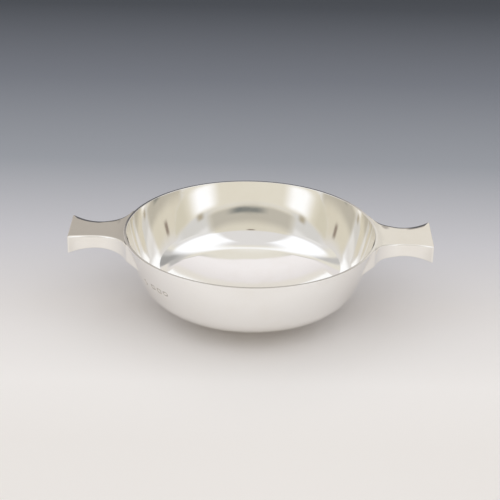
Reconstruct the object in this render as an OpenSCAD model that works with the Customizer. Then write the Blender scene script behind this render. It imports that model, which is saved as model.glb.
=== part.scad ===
// Quaich: a shallow two-handled drinking bowl of sheet silver.
// The bowl is raised from one disc, each lug is a box of three sheet pieces,
// and the foot is a separate ring. Hard solder joins them.
// Millimetres. The table is z = 0, the bowl's axis is Z and the lugs lie along X.

/* [Bowl] */
// Diameter across the outside of the rim
rim_d = 100; // [80:1:130]
// Depth of the outside, from the rim to the lowest point of the bottom
bowl_depth = 32.4; // [28:0.1:38]
// Thickness of the bowl's sheet
bowl_sheet = 1; // [0.6:0.1:1.6]
// Lean of the wall from upright at the rim, in degrees
rim_lean = 13; // [9:1:16]
// Radius of the wall's curve from the rim down to the turn
wall_r = 90; // [75:1:130]
// Radius of the turn between the wall and the bottom
turn_r = 13.5; // [9:0.5:17]
// Radius of the bottom's shallow crown
crown_r = 105; // [95:1:140]

/* [Foot] */
// Outside diameter of the foot ring where it stands
foot_d = 42; // [34:0.5:56]
// Width of the flat that the foot stands on
foot_land = 1.8; // [1.4:0.1:3]
// Height of the upright edge at the bottom of the foot
foot_lip = 0.8; // [0.4:0.1:1.2]
// Distance that the foot spreads beyond its own neck
foot_spread = 1.8; // [1:0.1:3]
// Radius of the hollow around the outside of the foot
foot_cove_r = 3; // [2:0.1:6]
// Thickness of the foot's strip at its neck
foot_sheet = 1; // [0.8:0.1:1.6]
// Height of the bowl's lowest point above the table
foot_lift = 1.5; // [1:0.1:4]

/* [Lugs] */
// Length of a lug beyond the rim
lug_len = 21.3; // [17:0.1:28]
// Distance from a lug's tip back to its waist
lug_waist_from_tip = 11; // [8:0.1:13]
// Width of a lug at its tip
lug_tip_w = 20.8; // [17:0.1:26]
// Width of a lug at its waist
lug_waist_w = 14; // [10:0.1:16]
// Depth of a lug at its waist
lug_waist_h = 5.1; // [4:0.1:8]
// Drop of a lug's top below the rim at the waist
lug_drop = 0.8; // [0.6:0.1:2]
// Radius of the long hollow in a lug's top
lug_top_r = 90; // [80:1:300]
// Radius of the long hollow in a lug's underside
lug_under_r = 65; // [45:1:300]
// Distance of a lug's sweep from the rim where it comes nearest
lug_root_gap = 0.6; // [0.4:0.1:1.2]
// Angle at which the sweep then runs out into the wall, in degrees
lug_run_out = 25; // [20:1:45]
// Thickness of the lugs' sheet
lug_sheet = 0.9; // [0.6:0.1:1.2]
// Inside radius of the bends at a lug's tip
lug_bend_r = 0.4; // [0.3:0.1:1]
// Diameter of the hole that lets hot air out of a hollow lug
vent_d = 1; // [0.8:0.1:1.5]
// Distance of that hole from the rim
vent_from_rim = 4; // [3:0.1:6]

/* [Solder] */
// Thickness of the solder between a piece and the bowl
solder_gap = 0.2; // [0.1:0.05:0.3]
// Width that the solder runs out beyond the joined edges
solder_run = 0.5; // [0.3:0.1:0.8]

/* [Hidden] */
$fn = 256;

silver = [0.93, 0.92, 0.88];
solder_white = [0.84, 0.84, 0.81];

// Heights of the bowl above the table
rim_r = rim_d / 2;
bottom_z = foot_lift;
rim_z = bottom_z + bowl_depth;
beyond = 2 * rim_d;
// The bowl's outside carries on to here where it is cut from the lugs, clear of their tops
over_z = rim_z + lug_waist_h;

// Centres of the three arcs of the bowl's outside, as [radius, height].
// The turn touches the crown and the wall, so its centre is where two circles cross.
crown_c = [0, bottom_z + crown_r];
wall_c = [rim_r - wall_r * cos(rim_lean), rim_z + wall_r * sin(rim_lean)];
turn_c = lower_crossing(crown_c, crown_r - turn_r, wall_c, wall_r - turn_r);

// The foot's neck, and the centre of the hollow around it
foot_r = foot_d / 2;
neck_r = foot_r - foot_spread;
cove_c = [neck_r + foot_cove_r, foot_lip + sqrt(foot_cove_r ^ 2 - (foot_cove_r - foot_spread) ^ 2)];

// A lug in plan: arcs run from the waist out to the tip and in to the rim
tip_x = rim_r + lug_len;
waist_x = tip_x - lug_waist_from_tip;
waist_y = lug_waist_w / 2;
tip_rise = (lug_tip_w - lug_waist_w) / 2;
tip_arc_r = thou((lug_waist_from_tip ^ 2 + tip_rise ^ 2) / (2 * tip_rise));
tip_arc_c = [waist_x, waist_y + tip_arc_r];
root_r = rim_r + lug_root_gap;
root_arc_r = thou((waist_x ^ 2 + waist_y ^ 2 - root_r ^ 2) / (2 * (root_r - waist_y)));
root_arc_c = [waist_x, waist_y + root_arc_r];
// Directions from the axis to the root's end, and from there along the run-out
root_way = root_arc_c / norm(root_arc_c);
run_way = cos(lug_run_out) * [-root_way[1], root_way[0]] - sin(lug_run_out) * root_way;
// The bend at each corner of the tip touches the tip's edge and the arc
bend_out_r = lug_bend_r + lug_sheet;
bend_x = tip_x - bend_out_r;
bend_c = [bend_x, tip_arc_c[1] - sqrt((tip_arc_r + bend_out_r) ^ 2 - (bend_x - waist_x) ^ 2)];

// A lug from the side: centres of the hollows in its top and underside
top_c = [waist_x, rim_z - lug_drop + lug_top_r];
under_c = [waist_x, rim_z - lug_drop - lug_waist_h - lug_under_r];

// The point, of the two where circles about a and b cross, that lies lower
function lower_crossing(a, a_r, b, b_r) =
    let (gap = norm(b - a),
         along = (gap ^ 2 + a_r ^ 2 - b_r ^ 2) / (2 * gap),
         across = sqrt(a_r ^ 2 - along ^ 2),
         way = (b - a) / gap,
         square_to_way = [-way[1], way[0]],
         foot = a + along * way,
         one = foot + across * square_to_way,
         other = foot - across * square_to_way)
    one[1] < other[1] ? one : other;

// The same point on the other side of a lug
function flip(p) = [p[0], -p[1]];

// A length to the nearest thousandth
function thou(v) = round(v * 1000) / 1000;

// Puts a centre in place in two moves, the second under a thousandth,
// so that arcs that touch run into each other without a step
module put(p) {
    near = [thou(p[0]), thou(p[1])];
    translate(near) translate(p - near) children();
}

// Half section of the bowl, filled up to the rim or to another height, and grown outwards
module bowl_section(grow = 0, top = rim_z) {
    intersection() {
        union() {
            intersection() {
                put(crown_c) circle(crown_r + grow);
                polygon([crown_c, [0, bottom_z - beyond], crown_c + 2 * (turn_c - crown_c)]);
            }
            put(turn_c) circle(turn_r + grow);
            intersection() {
                put(wall_c) circle(wall_r + grow);
                polygon([wall_c, wall_c + 3 * (turn_c - wall_c), wall_c + [beyond, 0]]);
            }
        }
        polygon([[0, -beyond], [beyond, -beyond], [beyond, top], [0, top]]);
    }
}

module bowl_block(grow = 0) {
    rotate_extrude() bowl_section(grow, over_z);
}

// The skin of solder on the bowl's outside
module solder_skin() {
    difference() {
        bowl_block(solder_gap);
        bowl_block();
    }
}

// A lug in plan, from well inside the bowl to the tip, grown outwards
module lug_plan(grow = 0) {
    root_end = (root_r + grow) * root_way;
    run_end = root_end + rim_r / 4 * run_way;
    tip_corner = [tip_x + grow, root_arc_c[1]];
    difference() {
        polygon([
            [rim_r / 2, 0],
            run_end,
            root_end,
            root_arc_c,
            tip_corner,
            flip(tip_corner),
            flip(root_arc_c),
            flip(root_end),
            flip(run_end),
        ]);
        lug_side_cutter(grow);
        mirror([0, 1]) lug_side_cutter(grow);
    }
}

// What is taken from one side of that outline: the sweep into the rim,
// the sweep out to the tip, and all beyond the bend at the tip's corner
module lug_side_cutter(grow = 0) {
    put(root_arc_c) circle(root_arc_r - grow);
    intersection() {
        put(tip_arc_c) circle(tip_arc_r - grow);
        translate([waist_x, 0]) square(beyond);
    }
    difference() {
        polygon([bend_c, tip_arc_c, [beyond, tip_arc_c[1]], [beyond, bend_c[1]]]);
        put(bend_c) circle(bend_out_r + grow);
    }
}

module lug_column(grow = 0) {
    linear_extrude(rim_z) lug_plan(grow);
}

// A bar across the lug, centred on a point of its side view
module cross_bar(centre, r) {
    translate([centre[0], 0, centre[1]]) rotate([90, 0, 0]) cylinder(r = r, h = beyond, center = true);
}

// The outside of a lug, before the bowl is cut from it
module lug_block(grow = 0) {
    difference() {
        lug_column(grow);
        cross_bar(top_c, lug_top_r - grow);
        cross_bar(under_c, lug_under_r - grow);
    }
}

module lug_top_plate() {
    color(silver) difference() {
        intersection() {
            lug_block();
            cross_bar(top_c, lug_top_r + lug_sheet);
        }
        bowl_block(solder_gap);
    }
}

// One strip, bent round the tip, makes both sides and the end
module lug_side_strip() {
    color(silver) difference() {
        lug_column();
        lug_column(-lug_sheet);
        cross_bar(top_c, lug_top_r + lug_sheet);
        cross_bar(under_c, lug_under_r + lug_sheet);
        bowl_block(solder_gap);
    }
}

module lug_under_plate() {
    color(silver) difference() {
        intersection() {
            lug_block();
            cross_bar(under_c, lug_under_r + lug_sheet);
        }
        bowl_block(solder_gap);
        translate([rim_r + vent_from_rim, 0, 0]) cylinder(d = vent_d, h = rim_z);
    }
}

// Solder follows the edges of the lug's sheet round its root
module lug_solder() {
    color(solder_white) difference() {
        intersection() {
            solder_skin();
            lug_block(solder_run);
        }
        lug_block(-lug_sheet);
    }
}

module bowl() {
    color(silver) rotate_extrude() difference() {
        bowl_section();
        bowl_section(-bowl_sheet);
    }
}

module foot_ring() {
    color(silver) rotate_extrude() difference() {
        polygon([
            [foot_r - foot_land, 0],
            [foot_r, 0],
            [foot_r, rim_z],
            [neck_r - foot_sheet, rim_z],
            [neck_r - foot_sheet, cove_c[1]],
        ]);
        put(cove_c) circle(foot_cove_r);
        translate([neck_r, cove_c[1]]) square([foot_cove_r, rim_z]);
        bowl_section(solder_gap);
    }
}

module foot_solder() {
    color(solder_white) rotate_extrude() difference() {
        intersection() {
            bowl_section(solder_gap);
            translate([neck_r - foot_sheet - solder_run, 0])
                square([foot_sheet + 2 * solder_run, rim_z / 2]);
        }
        bowl_section();
    }
}

bowl();
foot_ring();
foot_solder();
mirror([1, 0, 0]) lug_top_plate();  // left_lug_top_plate
mirror([1, 0, 0]) lug_side_strip();  // left_lug_side_strip
mirror([1, 0, 0]) lug_under_plate();  // left_lug_under_plate
mirror([1, 0, 0]) lug_solder();  // left_lug_solder
lug_top_plate();  // right_lug_top_plate
lug_side_strip();  // right_lug_side_strip
lug_under_plate();  // right_lug_under_plate
lug_solder();  // right_lug_solder
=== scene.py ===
# %% [markdown]
# # A silver quaich, piece by piece
# A quaich is a shallow drinking bowl with two flat handles, called lugs, that are held between
# finger and thumb. This one is plain polished silver, so there is no ornament to look at: what the
# eye reads is the run of each curve and what the metal mirrors. The lesson builds the pieces as a
# silversmith would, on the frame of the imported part, and then lights them like a small studio.

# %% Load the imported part
import math

import bpy
import numpy as np
from mathutils import Matrix, Vector


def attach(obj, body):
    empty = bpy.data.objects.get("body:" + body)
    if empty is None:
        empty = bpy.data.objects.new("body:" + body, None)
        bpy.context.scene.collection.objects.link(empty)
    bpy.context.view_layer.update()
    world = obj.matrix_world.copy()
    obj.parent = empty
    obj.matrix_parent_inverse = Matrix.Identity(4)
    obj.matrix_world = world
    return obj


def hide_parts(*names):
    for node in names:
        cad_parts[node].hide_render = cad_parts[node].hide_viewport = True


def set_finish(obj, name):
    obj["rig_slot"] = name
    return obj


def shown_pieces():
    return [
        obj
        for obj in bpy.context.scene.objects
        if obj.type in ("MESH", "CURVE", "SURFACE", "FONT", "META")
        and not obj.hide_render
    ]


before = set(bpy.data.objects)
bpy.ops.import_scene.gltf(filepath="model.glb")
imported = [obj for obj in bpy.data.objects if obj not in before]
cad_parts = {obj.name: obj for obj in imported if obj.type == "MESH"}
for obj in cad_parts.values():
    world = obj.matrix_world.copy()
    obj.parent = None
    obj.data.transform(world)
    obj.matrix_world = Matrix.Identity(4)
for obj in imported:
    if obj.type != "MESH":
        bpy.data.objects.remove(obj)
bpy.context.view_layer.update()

print("solids in the frame:", len(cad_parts))

# %% [markdown]
# ## From numbers to a mesh
# Polished metal shows every wrong normal, so the meshes here are not left to guess theirs. Each
# piece is worked out as points in millimetres together with the direction its surface faces, and
# both go into the mesh. The alternative, a coarse mesh with a subdivision modifier, rounds what
# should stay true to the gauge.

# %% One helper that makes a piece
MM = 0.001


def unit(vectors):
    """Vectors brought to length one."""
    vectors = np.asarray(vectors, float)
    return vectors / np.maximum(np.linalg.norm(vectors, axis=-1, keepdims=True), 1e-12)


def make_piece(name, places, normals, faces, flat=(), recess=None):
    """A mesh object from points in mm and their normals; faces listed in flat keep their own."""
    mesh = bpy.data.meshes.new(name)
    mesh.from_pydata((np.asarray(places) * MM).tolist(), [], [list(map(int, f)) for f in faces])
    mesh.shade_smooth()
    corners = np.empty(len(mesh.loops), int)
    mesh.loops.foreach_get("vertex_index", corners)
    facing = unit(normals)[corners]
    for number in flat:
        face = mesh.polygons[number]
        facing[face.loop_start:face.loop_start + face.loop_total] = face.normal
    mesh.normals_split_custom_set(facing.tolist())
    dark = mesh.attributes.new("recess", "FLOAT", "POINT")
    dark.data.foreach_set("value", np.zeros(len(places)) if recess is None else np.asarray(recess))
    piece = bpy.data.objects.new(name, mesh)
    bpy.context.scene.collection.objects.link(piece)
    print(name, "points", len(places), "faces", len(faces))
    return piece


print("one unit of Blender is", round(1 / MM), "mm")


# %% Arcs and eased corners of a profile
def arc(centre, radius, start, end, step, side=1.0, count=None):
    """Points and normals along an arc, angles in degrees; side -1 faces the centre."""
    count = count or max(2, math.ceil(abs(math.radians(end - start)) * radius / step) + 1)
    angles = np.radians(np.linspace(start, end, count))
    way = np.stack([np.cos(angles), np.sin(angles)], 1)
    return np.asarray(centre) + radius * way, side * way


def eased(corner, before, after, ease, step=0.05):
    """A corner between two faces, rounded; before and after are the angles the faces look to."""
    first, second = (np.array([math.cos(a), math.sin(a)]) for a in np.radians([before, after]))
    centre = np.asarray(corner) - ease * (first + second) / (1 + first @ second)
    return arc(centre, ease, before, after, step)


def chain(*parts):
    """Profile parts in a row, without the points that two neighbours share."""
    places, normals = [parts[0][0]], [parts[0][1]]
    for more, facing in parts[1:]:
        shared = int(np.allclose(places[-1][-1], more[0], atol=1e-3))
        places.append(more[shared:])
        normals.append(facing[shared:])
    return np.concatenate(places), np.concatenate(normals)


print("a half round of 10 mm in steps of 1 mm:", len(arc((0, 0), 10, 0, 180, 1)[0]), "points")

# %% Turning a profile round the axis
ON_AXIS = 1e-9


def lengths_along(spots):
    """How far each point of a profile is from its start, in mm."""
    return np.concatenate([[0], np.cumsum(np.linalg.norm(np.diff(spots, axis=0), axis=1))])


def lathe(name, profile, angles, closed=False, shift=None, recess=None):
    """Turns a profile (radius, height) round Z; shift(angle, along) moves it along its normals."""
    spots, facing = profile
    a, s = np.meshgrid(angles, lengths_along(spots))
    radius, height = (np.repeat(spots[:, [k]], len(angles), 1) for k in (0, 1))
    around = np.stack([-np.sin(a), np.cos(a), 0 * a], -1)
    outward = np.stack([np.cos(a), np.sin(a), 0 * a], -1)
    upward = np.array([0, 0, 1.0])
    out, up = (facing[:, k][:, None, None] for k in (0, 1))
    normal = out * outward + up * upward
    forward = -up * outward + out * upward
    place = radius[..., None] * outward + height[..., None] * upward
    if shift:
        tiny = 1e-3
        turned = tiny / np.maximum(radius, 1.0)
        rise = (shift(a, s + tiny) - shift(a, s - tiny)) / (2 * tiny)
        slew = (shift(a + turned, s) - shift(a - turned, s)) / (2 * tiny)
        place = place + shift(a, s)[..., None] * normal
        normal = normal - rise[..., None] * forward - slew[..., None] * around
    rows, columns = a.shape
    faces = []
    for row in range(rows if closed else rows - 1):
        low, high = row * columns, (row + 1) % rows * columns
        for c in range(columns):
            d = (c + 1) % columns
            if row == 0 and spots[0, 0] < ON_AXIS:
                faces.append((low, high + d, high + c))
            elif row == rows - 2 and spots[-1, 0] < ON_AXIS:
                faces.append((low + c, low + d, high))
            else:
                faces.append((low + c, low + d, high + d, high + c))
    place, normal = place.reshape(-1, 3), normal.reshape(-1, 3)
    used = np.unique(np.concatenate([np.array(f) for f in faces]))
    renumber = np.full(len(place), -1)
    renumber[used] = np.arange(len(used))
    dark = None if recess is None else np.asarray(recess(a, s)).reshape(-1)[used]
    faces = [[renumber[v] for v in f] for f in faces]
    return make_piece(name, place[used], normal[used], faces, recess=dark)


print("along (0, 0), (3, 4), (3, 9) in mm:", lengths_along([(0, 0), (3, 4), (3, 9)]))


# %% Tying a piece to the part
def seat(piece, slot, *nodes):
    """Ties a piece to the body, hides the solids it stands for and sets the slot of its finish."""
    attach(piece, "root")
    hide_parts(*nodes)
    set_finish(piece, slot)


print("every piece rides on the body root")

# %% [markdown]
# ## The bowl
# The bowl is raised from one disc of sheet silver with a hammer and then planished smooth. Its
# profile is three tangent arcs: a nearly flat crown, a tight turn and a wall that leans out. A
# lathe of exact arcs suits it better than a spline, because the mirror image inside the bowl
# depends on how each arc passes into the next. The rim is filed flat and its two edges are eased
# by hand.

# %% The three arcs of the wall
rim_r, rim_z, bottom_z, sheet = 50.0, 33.9, 1.5, 1.0
rim_lean, wall_r, turn_r, crown_r = math.radians(13), 90.0, 13.5, 105.0
crown_c = np.array([0.0, bottom_z + crown_r])
wall_c = np.array([rim_r - wall_r * math.cos(rim_lean), rim_z + wall_r * math.sin(rim_lean)])


def lower_crossing(one, one_r, two, two_r):
    """The lower of the two points where two circles cross."""
    gap = np.hypot(*(two - one))
    along = (gap ** 2 + one_r ** 2 - two_r ** 2) / (2 * gap)
    way = (two - one) / gap
    square = math.sqrt(one_r ** 2 - along ** 2) * np.array([-way[1], way[0]])
    return min(one + along * way + square, one + along * way - square, key=lambda spot: spot[1])


turn_c = lower_crossing(crown_c, crown_r - turn_r, wall_c, wall_r - turn_r)
crown_end = math.degrees(math.atan2(*(turn_c - crown_c)[::-1]))
turn_end = math.degrees(math.atan2(*(turn_c - wall_c)[::-1]))


def wall_angle(height, radius=wall_r):
    """The angle on the wall's arc at which a height is reached."""
    return math.degrees(math.asin((height - wall_c[1]) / radius))


def wall_out(height):
    """The outside radius of the wall at a height."""
    return wall_c[0] + np.sqrt(wall_r ** 2 - (np.asarray(height) - wall_c[1]) ** 2)


print("arcs meet at", round(crown_end, 2), "and", round(turn_end, 2), "degrees")

# %% The whole profile, outside and inside
ease_out, ease_in = 0.12, 0.18
# The inside wall stops a little short of its eased edge, so that no sliver is left between them.
spare = 1.06
mark_z, mark_reach = 22.5, 1.9
out_lean, in_lean = wall_angle(rim_z), wall_angle(rim_z, wall_r - sheet)
in_r = wall_c[0] + (wall_r - sheet) * math.cos(math.radians(in_lean))
trim_out = math.degrees(ease_out * math.tan(math.radians((90 - out_lean) / 2)) / wall_r)
trim_in = math.degrees(spare * ease_in * math.tan(math.radians((90 + in_lean) / 2)) / wall_r)
stops = [wall_angle(mark_z - mark_reach), wall_angle(mark_z + mark_reach), out_lean - trim_out]
outside = chain(
    arc(crown_c, crown_r, -90, crown_end, step=0.9),
    arc(turn_c, turn_r, crown_end, turn_end, step=0.35),
    arc(wall_c, wall_r, turn_end, stops[0], step=0.8),
    arc(wall_c, wall_r, stops[0], stops[1], step=0.1),
    arc(wall_c, wall_r, stops[1], stops[2], step=0.7),
)
inside = chain(
    arc(wall_c, wall_r - sheet, in_lean - trim_in, turn_end, step=0.7, side=-1),
    arc(turn_c, turn_r - sheet, turn_end, crown_end, step=0.3, side=-1),
    arc(crown_c, crown_r - sheet, crown_end, -90, step=0.8, side=-1),
)
rim = chain(
    eased((rim_r, rim_z), out_lean, 90, ease_out),
    eased((in_r, rim_z), 90, 180 + in_lean, ease_in),
)
bowl_profile = chain(outside, rim, inside)
bowl_profile[0][[0, -1], 0] = 0
wall_length = np.linalg.norm(np.diff(outside[0], axis=0), axis=1).sum()
print("profile points", len(bowl_profile[0]), "outside length", round(wall_length, 2))

# %% [markdown]
# ### Hand work on the bowl
# Planishing leaves the sheet very slightly uneven, by about two hundredths of a millimetre, and
# the mirror image shivers a little because of it. It is made in the mesh, not as a bump, so that
# it is there from all sides. Low on the outside sit four small struck marks. They are left blank
# here: shallow cartouches with soft edges, as a worn punch leaves them.

# %% The planished surface
# A ripple is its number of waves round the bowl, its length and height in mm and its start.
RIPPLES = ((5, 41.0, 0.010, 0.3), (8, 29.0, 0.007, 1.9),
           (13, 19.0, 0.004, 4.1), (22, 12.0, 0.002, 2.6))
whole_length = 2 * wall_length + sheet


def smooth(low, high, value):
    """An eased step from 0 at low to 1 at high."""
    t = np.clip((value - low) / (high - low), 0, 1)
    return t * t * (3 - 2 * t)


def planished(angle, along):
    """The ripples of the hammer, calm at the middle of the bottom and at the rim, in mm."""
    wave = sum(high * np.sin(count * angle + start) * np.sin(2 * np.pi * along / length + start)
               for count, length, high, start in RIPPLES)
    middle = smooth(2, 12, along) * smooth(2, 12, whole_length - along)
    return wave * (middle * smooth(0.3, 3, abs(along - whole_length / 2)))


print("ripples up to", round(sum(ripple[2] for ripple in RIPPLES), 3), "mm")

# %% The struck marks
# A mark is its bearing in degrees, then its lift, half width, half height and corner in mm.
MARKS = ((-148.46, -0.05, 0.95, 1.3, 0.8), (-141.84, 0.1, 1.3, 1.08, 0.35),
         (-137.28, -0.1, 1.2, 1.25, 0.3), (-133.01, 0.0, 1.36, 1.08, 0.95))
mark_depth, burr_height, burr_away, burr_wide = 0.16, 0.014, 0.2, 0.12
mark_r = float(wall_out(mark_z))
mark_s = float(np.interp(mark_z, outside[0][:, 1], lengths_along(outside[0])))


def hand_work(angle, along):
    """How far the sheet stands off its true profile, in mm."""
    struck = 0
    for middle, lift, wide, tall, corner in MARKS:
        turn = (angle - math.radians(middle) + np.pi) % (2 * np.pi) - np.pi
        across, up = np.abs(turn * mark_r), np.abs(along - mark_s - lift)
        past = np.hypot(np.maximum(across - wide + corner, 0), np.maximum(up - tall + corner, 0))
        reach = past + np.minimum(np.maximum(across - wide, up - tall) + corner, 0) - corner
        groove = smooth(0.10, -0.12, reach) * smooth(-0.62, -0.36, reach)
        burr = np.exp(-((reach - burr_away) / burr_wide) ** 2)
        struck = struck - mark_depth * groove + burr_height * burr
    return planished(angle, along) + struck


print("marks at", [m[0] for m in MARKS], "degrees,", round(mark_s, 2), "mm along the profile")

# %% Turn the bowl
foot_joint_s, lug_root_y = 19.6, 17


def tarnish_and_dark_marks(angle, along):
    """Tarnish where polish does not reach, at the foot's joint and round the lugs' roots, and a
    darker colour inside the marks.
    """
    foot = np.exp(-((along - foot_joint_s) / 1.6) ** 2)
    beside = np.exp(-((np.abs(np.sin(angle)) * rim_r - lug_root_y) / 4) ** 2)
    lugs = beside * smooth(7, 3, np.abs(wall_length - 4 - along))
    marks = smooth(-0.03, -0.1, hand_work(angle, along))
    # Inside the marks the value passes 1, and there the finish darkens the colour to a grey-brown.
    return np.clip(foot + 0.3 * lugs, 0, 1) + 1.6 * marks


# Columns of the mesh, even all round and much closer together where the marks are.
even = np.radians(np.arange(-180, 180, 1.5))
fine = np.radians(np.arange(-150.5, -130.2, 0.14))
clear = (even < fine[0] - 0.01) | (even > fine[-1] + 0.01)
columns = np.unique(np.concatenate([even[clear], fine]))
bowl = lathe("bowl_silver", bowl_profile, columns, shift=hand_work, recess=tarnish_and_dark_marks)
seat(bowl, "silver_bowl", "bowl")

# %% [markdown]
# ## The foot
# The bowl stands on a low ring that spreads outwards, a strip bent round and fitted to the crown of
# the bottom. It is turned like the bowl, with its land worn flat and its lip a little rounded. A
# thin seam of solder fills the joint on both sides.

# %% Turn the foot ring
def softened(corners, step=0.05):
    """A closed profile through corners (radius, height, ease), walked with metal on the left."""
    spots = np.array([c[:2] for c in corners], float)
    runs = np.roll(spots, -1, 0) - spots
    looks = np.degrees(np.arctan2(-runs[:, 0], runs[:, 1]))
    parts = []
    for k, (spot, corner) in enumerate(zip(spots, corners)):
        before, after = looks[k - 1], looks[k]
        bend = (after - before + 180) % 360 - 180
        if corner[2]:
            parts.append(eased(spot, before, before + bend, corner[2], step))
        else:
            way = math.radians(before + bend / 2)
            parts.append((spot[None], np.array([[math.cos(way), math.sin(way)]])))
    return chain(*parts)


cove_c, cove_r = (22.2, 3.5496), 3.0
cove = [(r, z, 0) for r, z in arc(cove_c, cove_r, -113.6, -174.5, step=0.25)[0][1:]]
foot_profile = softened([(19.2, 0, 0.15), (21, 0, 0.25), (21, 0.8, 0.2), *cove, (18.32, 3.13, 0)])
foot = lathe("foot_silver", foot_profile, even, closed=True,
             recess=lambda angle, along: smooth(2.5, 6.0, along))
print("foot from", foot_profile[0].min(0).round(2), "to", foot_profile[0].max(0).round(2))
seat(foot, "silver_foot", "foot_ring")

# %% The foot's solder seam
def crown_out(radius):
    """The outside height of the crown at a radius."""
    return crown_c[1] - math.sqrt(crown_r ** 2 - radius ** 2)


def fillet(start, corner, end, count=5):
    """Points of a hollow seam from start to end, drawn towards the corner."""
    t = np.linspace(0, 1, count)[:, None]
    start, corner, end = (np.asarray(p, float) for p in (start, corner, end))
    return (1 - t) ** 2 * start + 2 * t * (1 - t) * corner + t ** 2 * end


outer_seam = fillet((19.40, 2.55), (19.22, 3.24), (20.0, crown_out(20.0) + 0.02))
inner_seam = fillet((17.6, crown_out(17.6) + 0.02), (18.33, 3.06), (18.53, 2.45))
seam_profile = softened([(r, z, 0) for r, z in [*outer_seam, *inner_seam]])
foot_seam = lathe("foot_seam", seam_profile, even, closed=True,
                  recess=lambda angle, along: 0.8 + 0 * along)
seat(foot_seam, "silver_solder", "foot_solder")

# %% [markdown]
# ## The lugs
# Each lug is a small hollow box: a top plate dished along its length, a strip bent round the tip
# for the sides, and an under plate. In plan it is waisted, spreads to a straight tip, and sweeps
# into the bowl, where it is filed to fit the wall. The outline is walked once as lines and arcs,
# and the same walk at another offset gives the eased edge, so the three plates follow each other
# exactly.

# %% The plan outline of a lug
tip_x, waist_x, lug_sheet = 71.3, 60.3, 0.9
tip_arc_c, tip_arc_r = np.array([60.3, 26.494]), 19.494
root_arc_c, root_arc_r = np.array([60.3, 19.898]), 12.898
bend_r, least_bend, root_r, sunk = 0.5, 0.08, 50.6, 0.45
root_way, run_way = unit([0.9496, 0.3134]), unit([-0.686, 0.727])
run_steps, root_steps, tip_steps, bend_steps = 8, 22, 18, 9


def lug_side(grow, root_grow, meets):
    """Half the outline, root to tip: points, normals, how far each is past the root, 0 to 1."""
    end = (root_r + root_grow) * root_way
    slide = end @ run_way
    far = -slide - math.sqrt(slide ** 2 - end @ end + (meets - sunk) ** 2)
    run = end + np.linspace(far, 0, run_steps)[:, None] * run_way
    run_face = np.repeat([[run_way[1], -run_way[0]]], len(run), 0)
    past = smooth(0.12, 0.85, np.linspace(0, 1, root_steps))
    first = math.degrees(math.atan2(*-root_way[::-1]))
    angle = np.radians(np.linspace(first, -90, root_steps))
    inward = -np.stack([np.cos(angle), np.sin(angle)], 1)
    root = root_arc_c - (root_arc_r - root_grow - (grow - root_grow) * past)[:, None] * inward
    corner = max(bend_r + grow, least_bend)
    bend_x = tip_x + grow - corner
    bend_y = tip_arc_c[1] - math.sqrt((tip_arc_r - grow + corner) ** 2 - (bend_x - waist_x) ** 2)
    last = math.degrees(math.atan2(bend_y - tip_arc_c[1], bend_x - tip_arc_c[0]))
    tip = arc(tip_arc_c, tip_arc_r - grow, -90, last, 0, -1, count=tip_steps)
    bend = arc((bend_x, bend_y), corner, last + 180, 0, 0, count=bend_steps)
    places = np.concatenate([run, root[1:], tip[0][1:], bend[0][1:]])
    normals = np.concatenate([run_face, inward[1:], tip[1][1:], bend[1][1:]])
    normals[len(run) - 1] = unit(run_face[0] + inward[0])
    beyond = np.ones(len(places) - len(run) - len(past) + 1)
    share = np.concatenate([np.zeros(len(run)), past[1:], beyond])
    return places, normals, share


outline = lug_side(0, 0, rim_r - 0.5)[0]
print("points a side", len(outline))
print("tip corner", outline[-1].round(2), "run-out", outline[0].round(2))

# %% [markdown]
# ### Set by hand
# The two lugs are not quite alike: each was held by eye while the solder ran. The left one leans to
# the front by a degree and a half and the right one by five and a half, both tips sweep up by a
# fraction of a millimetre, and polishing has rolled the top edges over. On a mirror finish that is
# enough to make one lug look grey and the other white, so it is built in.

# %% How each lug leans and how its edges are worn
top_r, under_r, drop, waist_h = 90.0, 65.0, 0.8, 5.1
top_c = (waist_x, rim_z - drop + top_r)
under_c = (waist_x, rim_z - drop - waist_h - under_r)
# For the left and the right lug: its lean in degrees, its lift and the sweep of its tip in mm.
LEANS = {-1: (1.5, 0.15, 0.5), 1: (5.5, -0.05, 0.3)}
# How wide and how deep the front and the back top edge are rolled over, in mm.
WORN = {-1: ((0.9, 0.45), (2.2, 0.55)), 1: ((0.5, 0.32), (3.2, 0.75))}
CRISP = ((0.35, 0.35), (0.35, 0.35))
lean_from, lean_full = 50.5, 57
below_rim, rise_from, rise, blend = 0.03, 50.3, 0.25, 15


def lug_height(x, y, up, hand):
    """Height of a lug's top face (up 1) or under face (up -1), held below the rim at its root."""
    middle, radius = (top_c, top_r) if up > 0 else (under_c, under_r)
    z = middle[1] - up * np.sqrt(radius ** 2 - (x - middle[0]) ** 2)
    lean, lift, sweep = LEANS[hand]
    z = z + smooth(lean_from, lean_full, x) * (math.tan(math.radians(lean)) * y + lift)
    z = z + max(up, 0) * sweep * np.clip((x - waist_x) / (tip_x - waist_x), 0, 1) ** 2
    limit = rim_z - below_rim + rise * np.maximum(np.hypot(x, y) - rise_from, 0)
    return -np.logaddexp(-blend * z, -blend * limit) / blend


def lug_normal(x, y, up, hand):
    """The way that face looks."""
    x, y, tiny = np.asarray(x, float), np.asarray(y, float), 0.01
    along = (lug_height(x + tiny, y, up, hand) - lug_height(x - tiny, y, up, hand)) / (2 * tiny)
    over = (lug_height(x, y + tiny, up, hand) - lug_height(x, y - tiny, up, hand)) / (2 * tiny)
    return unit(np.stack([-along, -over, np.ones_like(along)], -1)) * up


for word, x in (("waist", waist_x), ("tip", tip_x)):
    lug_depth = lug_height(x, 0, 1, 1) - lug_height(x, 0, -1, 1)
    print("right lug's depth at the", word, round(float(lug_depth), 2))

# %% [markdown]
# ### Plates that share one outline
# The two plates are sawn from sheet, dished over a stake, and filed to one outline. In Blender a
# curve could be filled, thickened and bevelled, but a bevel is equally wide all round, and a worn
# edge is not. So each plate is a grid of rows across the lug, with rings round its border that roll
# over from the flat face to the side, wide where polishing has worn it and narrow at the root.

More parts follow.
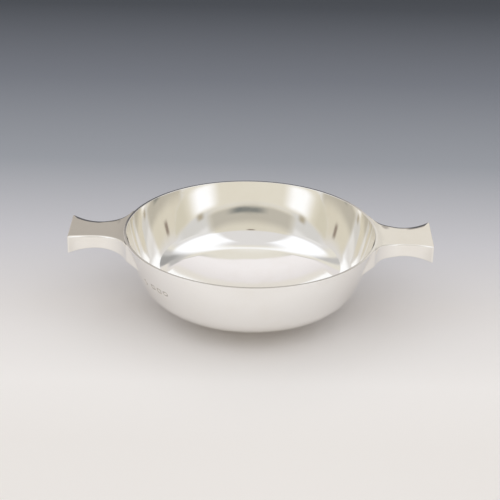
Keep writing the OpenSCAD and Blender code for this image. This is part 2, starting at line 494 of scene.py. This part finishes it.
# %% Rings and grids that share the outline
ACROSS = 16
root_x = 47.5


def walk(front, back, root_grow, height):
    """The outline once round, front root to back root, each side at its own offset."""
    meets = float(wall_out(height(root_x, 0.0)))
    fore, fore_face, share = lug_side(front, root_grow, meets)
    aft, aft_face, _ = lug_side(back, root_grow, meets)
    part = np.linspace(0, 1, ACROSS + 1)[1:-1, None]
    edge = fore[-1] * [1, -1] * (1 - part) + aft[-1] * part
    edge_face = np.repeat([[1.0, 0.0]], len(edge), 0)
    flat = np.concatenate([fore * [1, -1], edge, aft[::-1]])
    looks = np.concatenate([fore_face * [1, -1], edge_face, aft_face[::-1]])
    share = np.concatenate([share, np.ones(len(edge)), share[::-1]])
    side = np.concatenate([np.zeros(len(fore)), part[:, 0], np.ones(len(aft))])
    return np.c_[flat, height(flat[:, 0], flat[:, 1])], np.c_[looks, 0 * side], share, side


def grid(front, back, root_grow, height):
    """Rows across the lug; they bend from the wall's circle at the root to the straight tip."""
    meets = float(wall_out(height(root_x, 0.0)))
    fore = lug_side(front, root_grow, meets)[0] * [1, -1]
    aft = lug_side(back, root_grow, meets)[0]
    v = np.linspace(0, 1, ACROSS + 1)
    y = fore[:, 1:] * (1 - v) + aft[:, 1:] * v
    circle = np.hypot(*aft[0])
    on_circle = lambda over: np.sqrt(circle ** 2 - over ** 2)
    ends = on_circle(fore[:, 1:]) * (1 - v) + on_circle(aft[:, 1:]) * v
    bow = np.clip((waist_x - aft[:, :1]) / (waist_x - aft[0, 0]), 0, 1)
    x = fore[:, :1] * (1 - v) + aft[:, :1] * v + bow * (on_circle(y) - ends)
    return np.stack([x, y, height(x, y)], -1)


def edge_of(numbers):
    """The border of a grid of point numbers, in the order that walk() goes."""
    return np.concatenate([numbers[:, 0], numbers[-1, 1:-1], numbers[::-1, -1]])


print("points once round a lug:", 2 * len(outline) + ACROSS - 1)

# %% A plate: outer face, worn edge and inner face
root_ease, edge_steps = 0.28, 10


def plate_parts(up, hand):
    """The top (up 1) or under (up -1) plate: outer grid, edge rings, inner grid, its edge's way."""
    (front, front_deep), (back, back_deep) = WORN[hand] if up > 0 else CRISP
    face = lambda x, y: lug_height(x, y, up, hand)
    back_face = lambda x, y: lug_height(x, y, up, hand) - up * lug_sheet
    outer = grid(-front, -back, -root_ease, face)
    rings = []
    for turn in np.radians(np.linspace(0, 90, edge_steps))[1:]:
        left = 1 - math.sin(turn)
        spots, looks, share, side = walk(-front * left, -back * left, -root_ease * left, face)
        wide = root_ease + (front + (back - front) * side - root_ease) * share
        deep = root_ease + (front_deep + (back_deep - front_deep) * side - root_ease) * share
        above = lug_normal(spots[:, 0], spots[:, 1], up, hand)
        spots[:, 2] -= up * deep * (1 - math.cos(turn))
        level, steep = (math.cos(turn) / deep)[:, None], (math.sin(turn) / wide)[:, None]
        rings.append((spots, unit(level * above + steep * looks)))
    return outer, rings, grid(0, 0, 0, back_face), walk(0, 0, 0, back_face)[1]


print("rings round the edge of a plate:", len(plate_parts(1, 1)[1]))


# %% Faces of a grid, and a vent through it
def grid_faces(numbers, way, window):
    """Faces over a grid of point numbers; way -1 turns them over, the window is left open."""
    faces = []
    for i in range(numbers.shape[0] - 1):
        for j in range(numbers.shape[1] - 1):
            if window and window[0] <= i < window[1] and window[2] <= j < window[3]:
                continue
            ring = (numbers[i, j], numbers[i + 1, j], numbers[i + 1, j + 1], numbers[i, j + 1])
            faces.append(ring[::way])
    return faces


def drill(places, normals, grids, window, vent, up, hand):
    """A plate's points and normals with those of a vent (x, radius), and the faces it needs."""
    vent_x, vent_r = vent
    borders, holes = [], []
    for numbers, depth in zip(grids, (0, lug_sheet)):
        patch = numbers[window[0]:window[1] + 1, window[2]:window[3] + 1]
        sides = [patch[:, 0], patch[-1, 1:], patch[-2::-1, -1], patch[0, -2:0:-1]]
        borders.append(np.concatenate(sides))
        angle = np.arctan2(places[borders[-1], 1], places[borders[-1], 0] - vent_x)
        x, y = vent_x + vent_r * np.cos(angle), vent_r * np.sin(angle)
        holes.append(len(places) + np.arange(len(angle)))
        spots = np.stack([x, y, lug_height(x, y, up, hand) - up * depth], 1)
        places = np.concatenate([places, spots])
        normals = np.concatenate([normals, lug_normal(x, y, up, hand)])
    (outer, inner), (mouth, throat) = borders, holes
    faces = []
    for i in range(len(outer)):
        k = (i + 1) % len(outer)
        faces.append((outer[i], outer[k], mouth[k], mouth[i]))
        faces.append((inner[i], inner[k], throat[k], throat[i])[::-1])
        faces.append((mouth[i], mouth[k], throat[k], throat[i]))
    return places, normals, faces


print("faces over 3 by 3 points:", len(grid_faces(np.arange(9).reshape(3, 3), 1, None)))

# %% A whole plate
root_dull, root_from, root_reach = 0.25, 49, 6


def put_on_side(name, hand, places, normals, faces, flat, recess=None, way=1):
    """A piece of a lug on its own side (hand -1 mirrors it to the left), dulled near the wall."""
    side = np.array([hand, 1, 1])
    if recess is None:
        from_wall = np.hypot(places[:, 0], places[:, 1]) - root_from
        recess = root_dull * smooth(root_reach, 0, from_wall)
    turned = [f[::way * hand] for f in faces]
    return make_piece(name, places * side, normals * side, turned, flat, recess)


def make_plate(name, up, hand, vent=None):
    """One plate as a closed piece; vent is a hole (x, radius)."""
    outer, rings, inner, looks = plate_parts(up, hand)
    rows, across = outer.shape[:2]
    size, length = rows * across, len(rings[0][0])
    top = np.arange(size).reshape(rows, across)
    inner_top = top + size + length * len(rings)
    loops = [edge_of(top)] + [size + length * k + np.arange(length) for k in range(len(rings))]
    loops.append(edge_of(inner_top))
    places = np.concatenate([outer.reshape(-1, 3), *(r[0] for r in rings), inner.reshape(-1, 3)])
    normals = np.concatenate([
        lug_normal(outer[..., 0].ravel(), outer[..., 1].ravel(), up, hand), *(r[1] for r in rings),
        -lug_normal(inner[..., 0].ravel(), inner[..., 1].ravel(), up, hand)])
    normals[loops[-1]] = looks
    window, column = None, across // 2
    if vent:
        row = int(np.argmin(np.abs(outer[:, column, 0] - vent[0])))
        window = (row - 2, row + 2, column - 1, column + 1)
    faces, under = grid_faces(top, 1, window), grid_faces(inner_top, -1, window)
    flat = [len(faces) + f for f in range(len(under))]
    faces += under
    for above, below in zip(loops, loops[1:]):
        faces += [(below[i], below[i + 1], above[i + 1], above[i]) for i in range(length - 1)]
    near, far = 1, across - 2
    front_cap = [top[0, near], *(loop[0] for loop in loops), inner_top[0, near]][::-1]
    back_cap = [top[0, far], *(loop[-1] for loop in loops), inner_top[0, far]]
    root = [front_cap, back_cap]
    for j in range(near, far):
        root.append((top[0, j], top[0, j + 1], inner_top[0, j + 1], inner_top[0, j]))
    flat += [len(faces) + f for f in range(len(root))]
    faces += root
    if vent:
        both = (top, inner_top)
        places, normals, more = drill(places, normals, both, window, vent, up, hand)
        flat += [len(faces) + f for f in range(len(more)) if f % 3]
        faces += more
    return put_on_side(name, hand, places, normals, faces, flat, way=up)


vent_hole = (54.0, 0.5)
print("vent of", 2 * vent_hole[1], "mm at", vent_hole[0], "mm from the middle of the bowl")

# %% [markdown]
# ### The side strip
# One strip of sheet goes round the lug from wall to wall and is bent twice at the tip. It needs no
# rows of its own: the walk round the outline is taken at the plates' inner faces and once more a
# sheet's thickness further in, and the rings are joined up.

# %% Bend the strip
def make_strip(name, hand):
    """The strip between the plates, bent round the tip."""
    high = lambda x, y: lug_height(x, y, 1, hand) - lug_sheet
    low = lambda x, y: lug_height(x, y, -1, hand) + lug_sheet
    middle = lambda x, y: (high(x, y) + low(x, y)) / 2
    levels = [(0, high), (0, middle), (0, low), (-lug_sheet, low), (-lug_sheet, high)]
    rings = [walk(grow, grow, grow, height) for grow, height in levels]
    count, length = len(levels), len(rings[0][0])
    places = np.concatenate([r[0] for r in rings])
    normals = np.concatenate([r[1] for r in rings])
    faces, flat = [], []
    for k in range(count):
        above, below = k * length, (k + 1) % count * length
        if k >= 2:
            flat += range(len(faces), len(faces) + length - 1)
        faces += [(below + i, below + i + 1, above + i + 1, above + i) for i in range(length - 1)]
    flat += [len(faces), len(faces) + 1]
    faces.append([k * length for k in range(count)][::-1])
    faces.append([k * length + length - 1 for k in range(count)])
    return put_on_side(name, hand, places, normals, faces, flat)


print("the strip is", lug_sheet, "mm thick")

# %% [markdown]
# ### The seam at the root
# Solder runs into the joint between lug and wall and leaves a hollow curve there, cleaned up with a
# fine file. A boolean with a bevel could round the joint, but it would spoil the normals on both
# sides. Here the lug's end is followed once round, the joint is slid along the lug until it lies
# on the wall, and a small curve is drawn from one surface to the other.

# %% The ring where a lug ends
def root_ring(hand):
    """The end of a lug, once round: points, the way along the lug and the way its skin looks."""
    top, top_rings = plate_parts(1, hand)[:2]
    under, under_rings = plate_parts(-1, hand)[:2]
    half = lambda x, y: (lug_height(x, y, 1, hand) + lug_height(x, y, -1, hand)) / 2
    bands = [*top_rings, walk(0, 0, 0, half)[:2], *under_rings[::-1]]
    back = bands[::-1]
    top_face = lug_normal(top[0, :, 0], top[0, :, 1], 1, hand)
    under_face = lug_normal(under[0, :, 0], under[0, :, 1], -1, hand)[::-1]
    starts = [*top[0], *(b[0][-1] for b in bands), *under[0][::-1], *(b[0][0] for b in back)]
    nexts = [*top[1], *(b[0][-2] for b in bands), *under[1][::-1], *(b[0][1] for b in back)]
    looks = [*top_face, *(b[1][-1] for b in bands), *under_face, *(b[1][0] for b in back)]
    starts, nexts, looks = np.array(starts), np.array(nexts), np.array(looks)
    return starts, unit(nexts - starts), looks


print("points round a lug's end:", len(root_ring(1)[0]))

# %% The seam round the root
seam_leg, least_leg, seam_sink, seam_deep, seam_steps = 0.42, 0.03, 0.012, 0.15, 6
steep_enough, seam_dull = 0.3, 0.15


def make_seam(name, hand):
    """A hollow seam of solder where the lug meets the wall, once round the root."""
    joint, away, looks = root_ring(hand)
    for _ in range(8):
        radius = np.hypot(joint[:, 0], joint[:, 1])
        climb = (joint[:, :2] * away[:, :2]).sum(1) / radius
        joint += ((wall_out(joint[:, 2]) - radius) / climb)[:, None] * away
    lean = (joint[:, 2] - wall_c[1]) / wall_r
    wall_face = np.c_[unit(joint[:, :2]) * np.sqrt(1 - lean ** 2)[:, None], lean]
    up_wall = unit(looks - (looks * wall_face).sum(1)[:, None] * wall_face)
    to_rim = (rim_z - ease_out - joint[:, 2]) / np.maximum(up_wall[:, 2], steep_enough)
    room = np.where(up_wall[:, 2] > steep_enough, to_rim, seam_leg)
    room = np.clip(room, least_leg, seam_leg)[:, None]
    on_lug = joint + seam_leg * away - seam_sink * looks
    on_wall = joint + room * up_wall - seam_sink * wall_face
    between = unit(looks + wall_face)
    t = np.linspace(0, 1, seam_steps)
    curve = [(1 - q) ** 2 * on_lug + 2 * q * (1 - q) * joint + q * q * on_wall for q in t]
    curve_looks = [unit((1 - q) * seam_leg * looks + q * room * wall_face) for q in t]
    places = np.stack(curve + [joint - seam_deep * between], 1).reshape(-1, 3)
    normals = np.stack(curve_looks + [-between], 1).reshape(-1, 3)
    count, steps = len(joint), seam_steps + 1
    faces = []
    for i in range(count):
        k = (i + 1) % count
        for j in range(steps):
            n = (j + 1) % steps
            faces.append((i * steps + j, k * steps + j, k * steps + n, i * steps + n))
    flat = [f for f in range(len(faces)) if f % steps >= steps - 2]
    dull = np.full(len(places), seam_dull)
    return put_on_side(name, hand, places, normals, faces, flat, dull)


print("the seam's legs are", seam_leg, "mm at most")

# %% Make both lugs
for hand, word in ((-1, "left"), (1, "right")):
    top_plate = make_plate(word + "_top_silver", 1, hand)
    seat(top_plate, "silver_lugs", word + "_lug_top_plate")
    strip = make_strip(word + "_strip_silver", hand)
    seat(strip, "silver_lugs", word + "_lug_side_strip")
    under_plate = make_plate(word + "_under_silver", -1, hand, vent_hole)
    seat(under_plate, "silver_lugs", word + "_lug_under_plate")
    seam = make_seam(word + "_root_seam", hand)
    seat(seam, "silver_solder", word + "_lug_solder")

# %% [markdown]
# ## Polished silver
# Silver is the whitest of metals and keeps a faint warmth, which grows where light bounces twice,
# as inside the bowl. A mirror finish is never perfect: the buff leaves hairlines that run round the
# work, wiping leaves a cloudy film, and the joints hold a trace of tarnish. All of that is small,
# so it goes into roughness, a shallow bump and a slight change of colour, from procedural nodes.

# %% Shader maths in plain Python
class Wire:
    """A socket of a material; arithmetic on it adds Math nodes, node() adds any other kind."""

    def __init__(self, tree, socket=None):
        self.tree, self.socket = tree, socket

    def node(self, kind, settings=(), sockets=(), out=0):
        made = self.tree.nodes.new("ShaderNode" + kind)
        for key, value in dict(settings).items():
            if key == "stops":
                stops = made.color_ramp.elements
                for stop, (spot, colour) in zip(stops, (value[0], value[-1])):
                    stop.position, stop.color = spot, colour
                for spot, colour in value[1:-1]:
                    stops.new(spot).color = colour
            else:
                setattr(made, key, value)
        for key, value in dict(sockets).items():
            if isinstance(value, Wire):
                self.tree.links.new(value.socket, made.inputs[key])
            else:
                made.inputs[key].default_value = value
        return Wire(self.tree, made.outputs[out] if len(made.outputs) else None)

    def maths(self, operation, first, second=0.0, third=0.0):
        return self.node("Math", {"operation": operation}, {0: first, 1: second, 2: third})

    def __add__(self, other):
        return self.maths("ADD", self, other)

    def __sub__(self, other):
        return self.maths("SUBTRACT", self, other)

    def __rsub__(self, other):
        return self.maths("SUBTRACT", other, self)

    def __mul__(self, other):
        return self.maths("MULTIPLY", self, other)

    def __abs__(self):
        return self.maths("ABSOLUTE", self)

    __radd__, __rmul__ = __add__, __mul__

    def between(self, low, high):
        """An eased step of this value, 0 at low and 1 at high."""
        return self.node("MapRange", {"interpolation_type": "SMOOTHSTEP"},
                         {"Value": self, "From Min": low, "From Max": high})

    def tint(self, first, second):
        """A colour that goes from first to second as this value goes from 0 to 1."""
        return self.node("Mix", {"data_type": "RGBA"}, {0: self, 6: first, 7: second}, 2)

    def parts(self):
        """The three numbers of this vector."""
        apart = self.node("SeparateXYZ", sockets={0: self})
        return [Wire(self.tree, socket) for socket in apart.socket.node.outputs]


def blank_nodes(owner):
    """The emptied node tree of a material or a world, ready to be wired."""
    owner.use_nodes = True
    owner.node_tree.nodes.clear()
    return Wire(owner.node_tree)


print("sockets can be added, subtracted and multiplied")

# %% A silver finish
# The grey-brown that darkens the inside of the struck marks.
MARK_DARK = (0.46, 0.42, 0.38, 1)


def silver(name, clean, film, gloss, haze, lines, round_work):
    """Polished silver: clean and film colours, gloss, wiping haze and depth of hairlines in mm."""
    material = bpy.data.materials.new(name)
    start = blank_nodes(material)
    place = start.node("VectorMath", {"operation": "SCALE"},
                       {0: start.node("TexCoord", out="Object"), "Scale": 1 / MM})
    x, y, z = place.parts()
    # The hairlines are noise stretched the way the buff ran: round turned work, along a lug.
    if round_work:
        radius = start.maths("SQRT", x * x + y * y)
        stretched = (x * 0.12, y * 0.12, (radius + z) * 7.0)
    else:
        stretched = (x * 0.35, y * 6.0, z * 6.0)
    buffed = start.node("CombineXYZ", sockets=dict(enumerate(stretched)))

    def noise(vector, **sockets):
        return start.node("TexNoise", {}, {"Vector": vector, **sockets})

    fine = noise(buffed, Scale=1.0, Detail=3.0, Roughness=0.6)
    stray = noise(place, Scale=0.9, Detail=2.0, Distortion=1.5)
    cloud = noise(place, Scale=0.07, Detail=5.0, Roughness=0.6)
    blot = noise(place, Scale=0.21, Detail=4.0)
    scratch = (1 - abs(fine - 0.5).between(0.0, 0.035)) * stray.between(0.45, 0.7)
    recess = start.node("Attribute", {"attribute_name": "recess"}, out="Fac")
    wiped = cloud.between(0.42, 0.72)
    tarnish = (recess * (0.35 + blot) * 0.8).between(0.1, 1.1) + wiped * 0.08
    # Where the recess passes 1, inside the struck marks, the colour is darkened to a grey-brown.
    darker_in_marks = (recess - 1.0).between(0.0, 0.5)
    rough = gloss + haze * wiped + 0.05 * scratch + 0.10 * tarnish
    bump = start.node("Bump", {}, {
        "Strength": 0.25, "Distance": lines * MM, "Height": fine - 0.6 * scratch})
    colour = darker_in_marks.tint(tarnish.tint(clean, film), MARK_DARK)
    surface = start.node("BsdfPrincipled", {}, {
        "Base Color": colour, "Metallic": 1.0, "Roughness": rough, "Normal": bump})
    start.node("OutputMaterial", {}, {"Surface": surface})
    print(name, "nodes", len(material.node_tree.nodes))
    return material


# %% Dress the pieces
FILM, FOOT_FILM, SOLDER_FILM = (0.80, 0.72, 0.58, 1), (0.72, 0.64, 0.50, 1), (0.66, 0.58, 0.46, 1)
FINISHES = {
    "silver_bowl": silver(
        "bowl_polish", (0.980, 0.970, 0.950, 1), FILM, 0.035, 0.03, 0.0008, True),
    "silver_lugs": silver(
        "lug_polish", (0.966, 0.948, 0.905, 1), FILM, 0.045, 0.035, 0.0010, False),
    "silver_foot": silver(
        "foot_polish", (0.950, 0.930, 0.895, 1), FOOT_FILM, 0.06, 0.05, 0.0012, True),
    "silver_solder": silver(
        "solder_polish", (0.945, 0.927, 0.890, 1), SOLDER_FILM, 0.09, 0.05, 0.0012, False),
}
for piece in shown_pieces():
    piece.data.materials.append(FINISHES[piece["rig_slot"]])
print("finishes:", ", ".join(FINISHES))

# %% [markdown]
# ## The studio
# Polished silver has next to no colour of its own, so the studio is half of the picture: each patch
# of the metal is a small picture of a light, a gap between two lights or the table. The bowl stands
# on a pale sweep of paper that shades to slate at the back. In a studio that shade comes from light
# that falls off. Here it is simpler to give the paper a ramp of colours from front to back.

# %% The sweep of paper
def plain_sheet(name, corners):
    """A flat sheet of backdrop from its corners in metres."""
    mesh = bpy.data.meshes.new(name)
    mesh.from_pydata(corners, [], [range(len(corners))])
    paper_sheet = bpy.data.objects.new(name, mesh)
    bpy.context.scene.collection.objects.link(paper_sheet)
    return paper_sheet


# How far behind the middle of the bowl a painted shade lies, in metres, and its colour.
PAPER_AND_PAINTED_LIGHT = (
    # The lighter stop at -0.06 is a painted pool of light just in front of the bowl, where its own
    # shadow falls.
    (-0.10, (0.92, 0.89, 0.865, 1)), (-0.06, (0.95, 0.925, 0.91, 1)),
    (0.0, (0.83, 0.805, 0.80, 1)), (0.06, (0.66, 0.655, 0.69, 1)),
    (0.154, (0.36, 0.378, 0.418, 1)), (0.28, (0.203, 0.217, 0.252, 1)),
    (0.435, (0.078, 0.086, 0.102, 1)), (0.55, (0.040, 0.044, 0.053, 1)),
)
near, far = PAPER_AND_PAINTED_LIGHT[0][0], PAPER_AND_PAINTED_LIGHT[-1][0]
floor = plain_sheet("floor", [(-4, -4, 0), (4, -4, 0), (4, 4, 0), (-4, 4, 0)])
paper = bpy.data.materials.new("sweep_paper")
start = blank_nodes(paper)
back = start.node("TexCoord", out="Object").parts()[1]
depth = start.node("MapRange", {}, {"Value": back, "From Min": near, "From Max": far})
shades = [((spot - near) / (far - near), colour) for spot, colour in PAPER_AND_PAINTED_LIGHT]
fade = start.node("ValToRGB", {"stops": shades}, {0: depth})
start.node("OutputMaterial", {}, {"Surface": start.node(
    "BsdfPrincipled", {}, {"Base Color": fade, "Roughness": 0.9, "Specular IOR Level": 0.1})})
floor.data.materials.append(paper)
print("sweep laid, shades:", len(PAPER_AND_PAINTED_LIGHT))

# %% [markdown]
# ### The light tent
# Small bright silver is often photographed inside a tent of white cloth, with lamps outside and a
# few grey cards within. Separate lamps could stand round the bowl, but then the gaps between them
# would be left to chance. Here the whole tent is drawn on the world instead, as soft panels at a
# bearing and a height, so that each patch of the metal can be given what it should mirror.

# %% Measures in the tent
world = bpy.data.worlds.new("light_tent")
bpy.context.scene.world = world
start = blank_nodes(world)
east, north, high = start.node("TexCoord", out="Generated").parts()
degrees = 180 / math.pi
bearing = start.maths("ARCTAN2", east, north * -1.0) * degrees
height = start.maths("ARCSINE", high) * degrees
aside = abs(bearing)
eaves = high - 1.67 * north + 0.45 * start.maths("MAXIMUM", east, 0.0)
overhang = north - 0.35 * high
print("bearing 0 is at the camera, 90 at the right lug, 180 behind the bowl")


# %% Hanging panels
def hang(tent, panels):
    """Soft panels in front of the tent; each is a colour and limits (measure, from, to, blur)."""
    for colour, *limits in panels:
        steps = []
        for measure, first, last, blur in limits:
            if first is not None:
                steps.append(measure.between(first - blur, first + blur))
            if last is not None:
                steps.append(1 - measure.between(last - blur, last + blur))
        tent = math.prod(steps[1:], start=steps[0]).tint(tent, (*colour, 1))
    print("panels hung:", len(panels))
    return tent


# %% Panels behind the bowl, which its bottom mirrors
tent = hang((0.735, 0.72, 0.712, 1), (
    ((0.77, 0.74, 0.665), (north, 0.1, None, 0.12)),
    ((0.58, 0.57, 0.56), (bearing, 106, 141, 5), (height, None, 54, 6)),
    ((0.54, 0.53, 0.52), (bearing, -127, -114, 4), (height, None, 54, 6)),
    ((0.36, 0.355, 0.35), (bearing, 117, 139, 5), (height, None, 45, 8)),
    ((0.58, 0.565, 0.54), (aside, 138, 158, 8), (eaves, -0.05, 0.06, 0.03)),
    ((0.76, 0.725, 0.72), (aside, 138, None, 3), (eaves, None, 0.0, 0.02)),
    ((0.90, 0.87, 0.875), (aside, 143, None, 6), (eaves, None, 0.0, 0.02), (height, 46, None, 9)),
    ((0.50, 0.49, 0.48), (bearing, 132, 148, 4), (height, 37, 47, 3)),
))

# %% Panels low behind the bowl, which the lugs and the rim mirror
CREAM, GREY, DARK = (0.77, 0.735, 0.68), (0.47, 0.435, 0.40), (0.12, 0.12, 0.13)
behind = (north, 0.3, None, 0.1)
tent = hang(tent, (
    (CREAM, (aside, 155, None, 8), (height, 33, 42, 2)),
    (GREY, (aside, 155, None, 8), (height, None, 32, 1.8)),
    (CREAM, behind, (east, 0.08, None, 0.012), (east, None, 0.57, 0.04), (height, None, 36, 3)),
    (DARK, behind, (east, -0.23, 0.23, 0.05), (height, None, 18, 8)),
    (DARK, behind, (east, -0.115, 0.06, 0.015), (height, None, 24.9, 0.4)),
    (DARK, behind, (east, -0.045, 0.06, 0.015), (height, None, 26.3, 0.7)),
))

# %% Panels round the camera, which the back wall mirrors
tent = hang(tent, (
    ((1.06, 1.08, 1.12), (abs(bearing + 4.0), 44, None, 6), (overhang, None, 0.05, 0.12),
     (height, 31, None, 5), (height, None, 74, 8)),
    ((0.66, 0.65, 0.63), (aside, 40, 82, 6), (height, 13, 24, 3)),
    ((0.79, 0.78, 0.77), (aside, 47, 88, 4), (height, 21, 26.5, 1.5)),
    ((0.70, 0.66, 0.56), (aside, None, 44, 7), (height, 14, 34, 3)),
    ((0.51, 0.48, 0.415), (aside, None, 44, 6), (height, 16, None, 1), (height, None, 24, 2.5)),
    ((0.20, 0.21, 0.20), (abs(bearing - 4.0), None, 16, 8), (height, 16.5, 19.2, 0.8)),
    ((0.75, 0.71, 0.61), (aside, None, 78, 6), (height, None, 14, 0.9)),
    ((0.64, 0.60, 0.49), (aside, 66, 100, 6), (height, None, 14, 1.5)),
    ((1.05, 1.05, 1.06), (aside, 36, 58, 7), (height, 2.5, 13, 1.5)),
    ((0.44, 0.39, 0.30), (aside, 50, 57, 3), (height, 13.6, 16.4, 1.0)),
    ((0.30, 0.25, 0.21), (aside, None, 4, 2.5), (height, 28.5, 33, 1.2)),
))

# %% Close the tent
start.node("OutputWorld", {}, {"Surface": start.node("Background", {}, {"Color": tent})})
scene = bpy.context.scene
scene.view_settings.view_transform = "Standard"
scene.cycles.max_bounces = scene.cycles.glossy_bounces = 12
print("tent nodes:", len(world.node_tree.nodes))

# %% [markdown]
# ### A lamp over the camera
# The tent alone would leave the paper flat, so one broad lamp hangs above and behind the camera. It
# only lights the paper and draws the soft shadow: its own image is kept out of the metal, because
# the panels of the tent already say what the silver should mirror.

# %% Hang the lamp
lamp = bpy.data.lights.new("front_lamp", "AREA")
lamp.shape, lamp.size, lamp.size_y, lamp.energy = "RECTANGLE", 1.4, 0.9, 2.2
front_lamp = bpy.data.objects.new("front_lamp", lamp)
front_lamp.location = (0, -0.9, 1.1)
front_lamp.rotation_euler = Vector((0, 0.9, -1.1)).to_track_quat("-Z", "Y").to_euler()
front_lamp.visible_glossy = False
scene.collection.objects.link(front_lamp)
print("front lamp", lamp.energy, "W")

# %% [markdown]
# ## The camera
# The camera looks down at about 26 degrees from half a metre away, square to the lugs and turned by
# a little over one degree, as if the stand was not quite level. A long lens keeps the rim's ellipse
# calm. Its matrix is put together from three directions, because a turn about the line of sight is
# hard to see in Euler angles.

# %% Set up the camera
eye, aim, roll = Vector((0, -0.49855, 0.26617)), Vector((-0.0002, 0, 0.0252)), math.radians(1.25)
ahead = (aim - eye).normalized()
level = ahead.cross(Vector((0, 0, 1))).normalized()
plumb = level.cross(ahead)
right = level * math.cos(roll) + plumb * math.sin(roll)
up = plumb * math.cos(roll) - level * math.sin(roll)
lens = bpy.data.cameras.new("studio_camera")
lens.lens, lens.sensor_width, lens.clip_start = 100.44, 36.0, 0.01
camera = bpy.data.objects.new("studio_camera", lens)
camera.matrix_world = Matrix.Translation(eye) @ Matrix((right, up, -ahead)).transposed().to_4x4()
scene.collection.objects.link(camera)
scene.camera = camera
print("camera", [round(v, 3) for v in eye], "lens", lens.lens)
